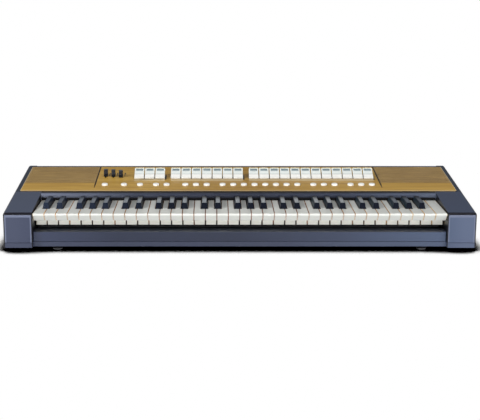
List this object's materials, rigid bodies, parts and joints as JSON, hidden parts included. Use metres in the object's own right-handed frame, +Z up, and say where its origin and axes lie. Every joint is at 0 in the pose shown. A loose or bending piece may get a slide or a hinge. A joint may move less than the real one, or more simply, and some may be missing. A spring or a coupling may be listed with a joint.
{
  "type": "electronic organ",
  "caption": "Portable electronic organ: one sprung manual between end cheeks, sloping wood panel with rocker stop tabs, round pistons, slide controls and two speakers.",
  "frame": {"origin": "on the supporting surface, under the middle of the case's box", "axes": "+X to the player's right along the keyboard, +Y from the player to the back, +Z up"},
  "size_m": [0.968, 0.35, 0.1266],
  "materials": {
    "case_lacquer": "satin dark blue-grey",
    "fallboard_plastic": "satin dark blue-grey",
    "wood_veneer": "semi-gloss golden brown veneer",
    "speaker_black": "matt black",
    "black_steel": "satin black paint on pressed steel",
    "zinc_steel": "zinc-plated sheet",
    "circuit_board": "green solder mask",
    "ivory_plastic": "polished off-white",
    "ebony_plastic": "satin black",
    "tab_plastic": "polished white",
    "button_plastic": "polished white",
    "cap_plastic": "satin black"
  },
  "bodies": {
    "case": {"base_case": "case_lacquer", "left_cheek": "case_lacquer", "right_cheek": "case_lacquer", "front_rail": "case_lacquer", "fallboard": "fallboard_plastic", "wood_panel": "wood_veneer", "left_speaker": "speaker_black", "right_speaker": "speaker_black", "keybed_chassis": "black_steel", "tab_rail": "zinc_steel", "main_board": "circuit_board"},
    "slider_left": {"slider_left": "cap_plastic"},
    "slider_middle": {"slider_middle": "cap_plastic"},
    "slider_right": {"slider_right": "cap_plastic"},
    "stop_bank_left": {"stop_bank_left": "tab_plastic"},
    "stop_bank_middle": {"stop_bank_middle": "tab_plastic"},
    "stop_bank_right": {"stop_bank_right": "tab_plastic"},
    "piston_strip_left": {"piston_strip_left": "button_plastic"},
    "piston_strip_right": {"piston_strip_right": "button_plastic"},
    "sharps_octave_2": {"sharps_octave_2": "ebony_plastic"},
    "sharps_octave_3": {"sharps_octave_3": "ebony_plastic"},
    "sharps_octave_4": {"sharps_octave_4": "ebony_plastic"},
    "sharps_octave_5": {"sharps_octave_5": "ebony_plastic"},
    "sharps_octave_6": {"sharps_octave_6": "ebony_plastic"},
    "key_c2": {"key_c2": "ivory_plastic"},
    "key_d2": {"key_d2": "ivory_plastic"},
    "key_e2": {"key_e2": "ivory_plastic"},
    "key_f2": {"key_f2": "ivory_plastic"},
    "key_g2": {"key_g2": "ivory_plastic"},
    "key_a2": {"key_a2": "ivory_plastic"},
    "key_b2": {"key_b2": "ivory_plastic"},
    "key_c3": {"key_c3": "ivory_plastic"},
    "key_d3": {"key_d3": "ivory_plastic"},
    "key_e3": {"key_e3": "ivory_plastic"},
    "key_f3": {"key_f3": "ivory_plastic"},
    "key_g3": {"key_g3": "ivory_plastic"},
    "key_a3": {"key_a3": "ivory_plastic"},
    "key_b3": {"key_b3": "ivory_plastic"},
    "key_c4": {"key_c4": "ivory_plastic"},
    "key_d4": {"key_d4": "ivory_plastic"},
    "key_e4": {"key_e4": "ivory_plastic"},
    "key_f4": {"key_f4": "ivory_plastic"},
    "key_g4": {"key_g4": "ivory_plastic"},
    "key_a4": {"key_a4": "ivory_plastic"},
    "key_b4": {"key_b4": "ivory_plastic"},
    "key_c5": {"key_c5": "ivory_plastic"},
    "key_d5": {"key_d5": "ivory_plastic"},
    "key_e5": {"key_e5": "ivory_plastic"},
    "key_f5": {"key_f5": "ivory_plastic"},
    "key_g5": {"key_g5": "ivory_plastic"},
    "key_a5": {"key_a5": "ivory_plastic"},
    "key_b5": {"key_b5": "ivory_plastic"},
    "key_c6": {"key_c6": "ivory_plastic"},
    "key_d6": {"key_d6": "ivory_plastic"},
    "key_e6": {"key_e6": "ivory_plastic"},
    "key_f6": {"key_f6": "ivory_plastic"},
    "key_g6": {"key_g6": "ivory_plastic"},
    "key_a6": {"key_a6": "ivory_plastic"},
    "key_b6": {"key_b6": "ivory_plastic"},
    "key_c7": {"key_c7": "ivory_plastic"}
  },
  "joints": [
    {"name": "slider_left_move", "type": "slide", "parent": "case", "child": "slider_left", "axis": [0, 0.995, 0.0995], "range_m": [-0.012, 0.031]},
    {"name": "slider_middle_move", "type": "slide", "parent": "case", "child": "slider_middle", "axis": [0, 0.995, 0.0995], "range_m": [-0.0095, 0.0335]},
    {"name": "slider_right_move", "type": "slide", "parent": "case", "child": "slider_right", "axis": [0, 0.995, 0.0995], "range_m": [-0.0045, 0.0385]},
    {"name": "stop_bank_left_rock", "type": "hinge", "parent": "case", "child": "stop_bank_left", "pos_m": [0, 0.07697, 0.09916], "axis": [-1, 0, 0], "range_deg": [0, 12]},
    {"name": "stop_bank_middle_rock", "type": "hinge", "parent": "case", "child": "stop_bank_middle", "pos_m": [0, 0.07697, 0.09916], "axis": [-1, 0, 0], "range_deg": [0, 12]},
    {"name": "stop_bank_right_rock", "type": "hinge", "parent": "case", "child": "stop_bank_right", "pos_m": [0, 0.07697, 0.09916], "axis": [-1, 0, 0], "range_deg": [0, 12]},
    {"name": "piston_strip_left_press", "type": "slide", "parent": "case", "child": "piston_strip_left", "axis": [0, 0.0995, -0.995], "range_m": [0, 0.0025], "stiffness_N_per_m": 600, "springref_m": -0.002},
    {"name": "piston_strip_right_press", "type": "slide", "parent": "case", "child": "piston_strip_right", "axis": [0, 0.0995, -0.995], "range_m": [0, 0.0025], "stiffness_N_per_m": 600, "springref_m": -0.002},
    {"name": "sharps_octave_2_press", "type": "hinge", "parent": "case", "child": "sharps_octave_2", "pos_m": [-0.34075, 0.051, 0.069], "axis": [1, 0, 0], "range_deg": [0, 3.2], "stiffness_Nm_per_rad": 4.5, "springref_deg": -10.31},
    {"name": "sharps_octave_3_press", "type": "hinge", "parent": "case", "child": "sharps_octave_3", "pos_m": [-0.17625, 0.051, 0.069], "axis": [1, 0, 0], "range_deg": [0, 3.2], "stiffness_Nm_per_rad": 4.5, "springref_deg": -10.31},
    {"name": "sharps_octave_4_press", "type": "hinge", "parent": "case", "child": "sharps_octave_4", "pos_m": [-0.01175, 0.051, 0.069], "axis": [1, 0, 0], "range_deg": [0, 3.2], "stiffness_Nm_per_rad": 4.5, "springref_deg": -10.31},
    {"name": "sharps_octave_5_press", "type": "hinge", "parent": "case", "child": "sharps_octave_5", "pos_m": [0.15275, 0.051, 0.069], "axis": [1, 0, 0], "range_deg": [0, 3.2], "stiffness_Nm_per_rad": 4.5, "springref_deg": -10.31},
    {"name": "sharps_octave_6_press", "type": "hinge", "parent": "case", "child": "sharps_octave_6", "pos_m": [0.31725, 0.051, 0.069], "axis": [1, 0, 0], "range_deg": [0, 3.2], "stiffness_Nm_per_rad": 4.5, "springref_deg": -10.31},
    {"name": "key_c2_press", "type": "hinge", "parent": "case", "child": "key_c2", "pos_m": [-0.41125, 0.03, 0.069], "axis": [1, 0, 0], "range_deg": [0, 2.8], "stiffness_Nm_per_rad": 0.9, "springref_deg": -10.31},
    {"name": "key_d2_press", "type": "hinge", "parent": "case", "child": "key_d2", "pos_m": [-0.38775, 0.03, 0.069], "axis": [1, 0, 0], "range_deg": [0, 2.8], "stiffness_Nm_per_rad": 0.9, "springref_deg": -10.31},
    {"name": "key_e2_press", "type": "hinge", "parent": "case", "child": "key_e2", "pos_m": [-0.36425, 0.03, 0.069], "axis": [1, 0, 0], "range_deg": [0, 2.8], "stiffness_Nm_per_rad": 0.9, "springref_deg": -10.31},
    {"name": "key_f2_press", "type": "hinge", "parent": "case", "child": "key_f2", "pos_m": [-0.34075, 0.03, 0.069], "axis": [1, 0, 0], "range_deg": [0, 2.8], "stiffness_Nm_per_rad": 0.9, "springref_deg": -10.31},
    {"name": "key_g2_press", "type": "hinge", "parent": "case", "child": "key_g2", "pos_m": [-0.31725, 0.03, 0.069], "axis": [1, 0, 0], "range_deg": [0, 2.8], "stiffness_Nm_per_rad": 0.9, "springref_deg": -10.31},
    {"name": "key_a2_press", "type": "hinge", "parent": "case", "child": "key_a2", "pos_m": [-0.29375, 0.03, 0.069], "axis": [1, 0, 0], "range_deg": [0, 2.8], "stiffness_Nm_per_rad": 0.9, "springref_deg": -10.31},
    {"name": "key_b2_press", "type": "hinge", "parent": "case", "child": "key_b2", "pos_m": [-0.27025, 0.03, 0.069], "axis": [1, 0, 0], "range_deg": [0, 2.8], "stiffness_Nm_per_rad": 0.9, "springref_deg": -10.31},
    {"name": "key_c3_press", "type": "hinge", "parent": "case", "child": "key_c3", "pos_m": [-0.24675, 0.03, 0.069], "axis": [1, 0, 0], "range_deg": [0, 2.8], "stiffness_Nm_per_rad": 0.9, "springref_deg": -10.31},
    {"name": "key_d3_press", "type": "hinge", "parent": "case", "child": "key_d3", "pos_m": [-0.22325, 0.03, 0.069], "axis": [1, 0, 0], "range_deg": [0, 2.8], "stiffness_Nm_per_rad": 0.9, "springref_deg": -10.31},
    {"name": "key_e3_press", "type": "hinge", "parent": "case", "child": "key_e3", "pos_m": [-0.19975, 0.03, 0.069], "axis": [1, 0, 0], "range_deg": [0, 2.8], "stiffness_Nm_per_rad": 0.9, "springref_deg": -10.31},
    {"name": "key_f3_press", "type": "hinge", "parent": "case", "child": "key_f3", "pos_m": [-0.17625, 0.03, 0.069], "axis": [1, 0, 0], "range_deg": [0, 2.8], "stiffness_Nm_per_rad": 0.9, "springref_deg": -10.31},
    {"name": "key_g3_press", "type": "hinge", "parent": "case", "child": "key_g3", "pos_m": [-0.15275, 0.03, 0.069], "axis": [1, 0, 0], "range_deg": [0, 2.8], "stiffness_Nm_per_rad": 0.9, "springref_deg": -10.31},
    {"name": "key_a3_press", "type": "hinge", "parent": "case", "child": "key_a3", "pos_m": [-0.12925, 0.03, 0.069], "axis": [1, 0, 0], "range_deg": [0, 2.8], "stiffness_Nm_per_rad": 0.9, "springref_deg": -10.31},
    {"name": "key_b3_press", "type": "hinge", "parent": "case", "child": "key_b3", "pos_m": [-0.10575, 0.03, 0.069], "axis": [1, 0, 0], "range_deg": [0, 2.8], "stiffness_Nm_per_rad": 0.9, "springref_deg": -10.31},
    {"name": "key_c4_press", "type": "hinge", "parent": "case", "child": "key_c4", "pos_m": [-0.08225, 0.03, 0.069], "axis": [1, 0, 0], "range_deg": [0, 2.8], "stiffness_Nm_per_rad": 0.9, "springref_deg": -10.31},
    {"name": "key_d4_press", "type": "hinge", "parent": "case", "child": "key_d4", "pos_m": [-0.05875, 0.03, 0.069], "axis": [1, 0, 0], "range_deg": [0, 2.8], "stiffness_Nm_per_rad": 0.9, "springref_deg": -10.31},
    {"name": "key_e4_press", "type": "hinge", "parent": "case", "child": "key_e4", "pos_m": [-0.03525, 0.03, 0.069], "axis": [1, 0, 0], "range_deg": [0, 2.8], "stiffness_Nm_per_rad": 0.9, "springref_deg": -10.31},
    {"name": "key_f4_press", "type": "hinge", "parent": "case", "child": "key_f4", "pos_m": [-0.01175, 0.03, 0.069], "axis": [1, 0, 0], "range_deg": [0, 2.8], "stiffness_Nm_per_rad": 0.9, "springref_deg": -10.31},
    {"name": "key_g4_press", "type": "hinge", "parent": "case", "child": "key_g4", "pos_m": [0.01175, 0.03, 0.069], "axis": [1, 0, 0], "range_deg": [0, 2.8], "stiffness_Nm_per_rad": 0.9, "springref_deg": -10.31},
    {"name": "key_a4_press", "type": "hinge", "parent": "case", "child": "key_a4", "pos_m": [0.03525, 0.03, 0.069], "axis": [1, 0, 0], "range_deg": [0, 2.8], "stiffness_Nm_per_rad": 0.9, "springref_deg": -10.31},
    {"name": "key_b4_press", "type": "hinge", "parent": "case", "child": "key_b4", "pos_m": [0.05875, 0.03, 0.069], "axis": [1, 0, 0], "range_deg": [0, 2.8], "stiffness_Nm_per_rad": 0.9, "springref_deg": -10.31},
    {"name": "key_c5_press", "type": "hinge", "parent": "case", "child": "key_c5", "pos_m": [0.08225, 0.03, 0.069], "axis": [1, 0, 0], "range_deg": [0, 2.8], "stiffness_Nm_per_rad": 0.9, "springref_deg": -10.31},
    {"name": "key_d5_press", "type": "hinge", "parent": "case", "child": "key_d5", "pos_m": [0.10575, 0.03, 0.069], "axis": [1, 0, 0], "range_deg": [0, 2.8], "stiffness_Nm_per_rad": 0.9, "springref_deg": -10.31},
    {"name": "key_e5_press", "type": "hinge", "parent": "case", "child": "key_e5", "pos_m": [0.12925, 0.03, 0.069], "axis": [1, 0, 0], "range_deg": [0, 2.8], "stiffness_Nm_per_rad": 0.9, "springref_deg": -10.31},
    {"name": "key_f5_press", "type": "hinge", "parent": "case", "child": "key_f5", "pos_m": [0.15275, 0.03, 0.069], "axis": [1, 0, 0], "range_deg": [0, 2.8], "stiffness_Nm_per_rad": 0.9, "springref_deg": -10.31},
    {"name": "key_g5_press", "type": "hinge", "parent": "case", "child": "key_g5", "pos_m": [0.17625, 0.03, 0.069], "axis": [1, 0, 0], "range_deg": [0, 2.8], "stiffness_Nm_per_rad": 0.9, "springref_deg": -10.31},
    {"name": "key_a5_press", "type": "hinge", "parent": "case", "child": "key_a5", "pos_m": [0.19975, 0.03, 0.069], "axis": [1, 0, 0], "range_deg": [0, 2.8], "stiffness_Nm_per_rad": 0.9, "springref_deg": -10.31},
    {"name": "key_b5_press", "type": "hinge", "parent": "case", "child": "key_b5", "pos_m": [0.22325, 0.03, 0.069], "axis": [1, 0, 0], "range_deg": [0, 2.8], "stiffness_Nm_per_rad": 0.9, "springref_deg": -10.31},
    {"name": "key_c6_press", "type": "hinge", "parent": "case", "child": "key_c6", "pos_m": [0.24675, 0.03, 0.069], "axis": [1, 0, 0], "range_deg": [0, 2.8], "stiffness_Nm_per_rad": 0.9, "springref_deg": -10.31},
    {"name": "key_d6_press", "type": "hinge", "parent": "case", "child": "key_d6", "pos_m": [0.27025, 0.03, 0.069], "axis": [1, 0, 0], "range_deg": [0, 2.8], "stiffness_Nm_per_rad": 0.9, "springref_deg": -10.31},
    {"name": "key_e6_press", "type": "hinge", "parent": "case", "child": "key_e6", "pos_m": [0.29375, 0.03, 0.069], "axis": [1, 0, 0], "range_deg": [0, 2.8], "stiffness_Nm_per_rad": 0.9, "springref_deg": -10.31},
    {"name": "key_f6_press", "type": "hinge", "parent": "case", "child": "key_f6", "pos_m": [0.31725, 0.03, 0.069], "axis": [1, 0, 0], "range_deg": [0, 2.8], "stiffness_Nm_per_rad": 0.9, "springref_deg": -10.31},
    {"name": "key_g6_press", "type": "hinge", "parent": "case", "child": "key_g6", "pos_m": [0.34075, 0.03, 0.069], "axis": [1, 0, 0], "range_deg": [0, 2.8], "stiffness_Nm_per_rad": 0.9, "springref_deg": -10.31},
    {"name": "key_a6_press", "type": "hinge", "parent": "case", "child": "key_a6", "pos_m": [0.36425, 0.03, 0.069], "axis": [1, 0, 0], "range_deg": [0, 2.8], "stiffness_Nm_per_rad": 0.9, "springref_deg": -10.31},
    {"name": "key_b6_press", "type": "hinge", "parent": "case", "child": "key_b6", "pos_m": [0.38775, 0.03, 0.069], "axis": [1, 0, 0], "range_deg": [0, 2.8], "stiffness_Nm_per_rad": 0.9, "springref_deg": -10.31},
    {"name": "key_c7_press", "type": "hinge", "parent": "case", "child": "key_c7", "pos_m": [0.41125, 0.03, 0.069], "axis": [1, 0, 0], "range_deg": [0, 2.8], "stiffness_Nm_per_rad": 0.9, "springref_deg": -10.31}
  ]
}
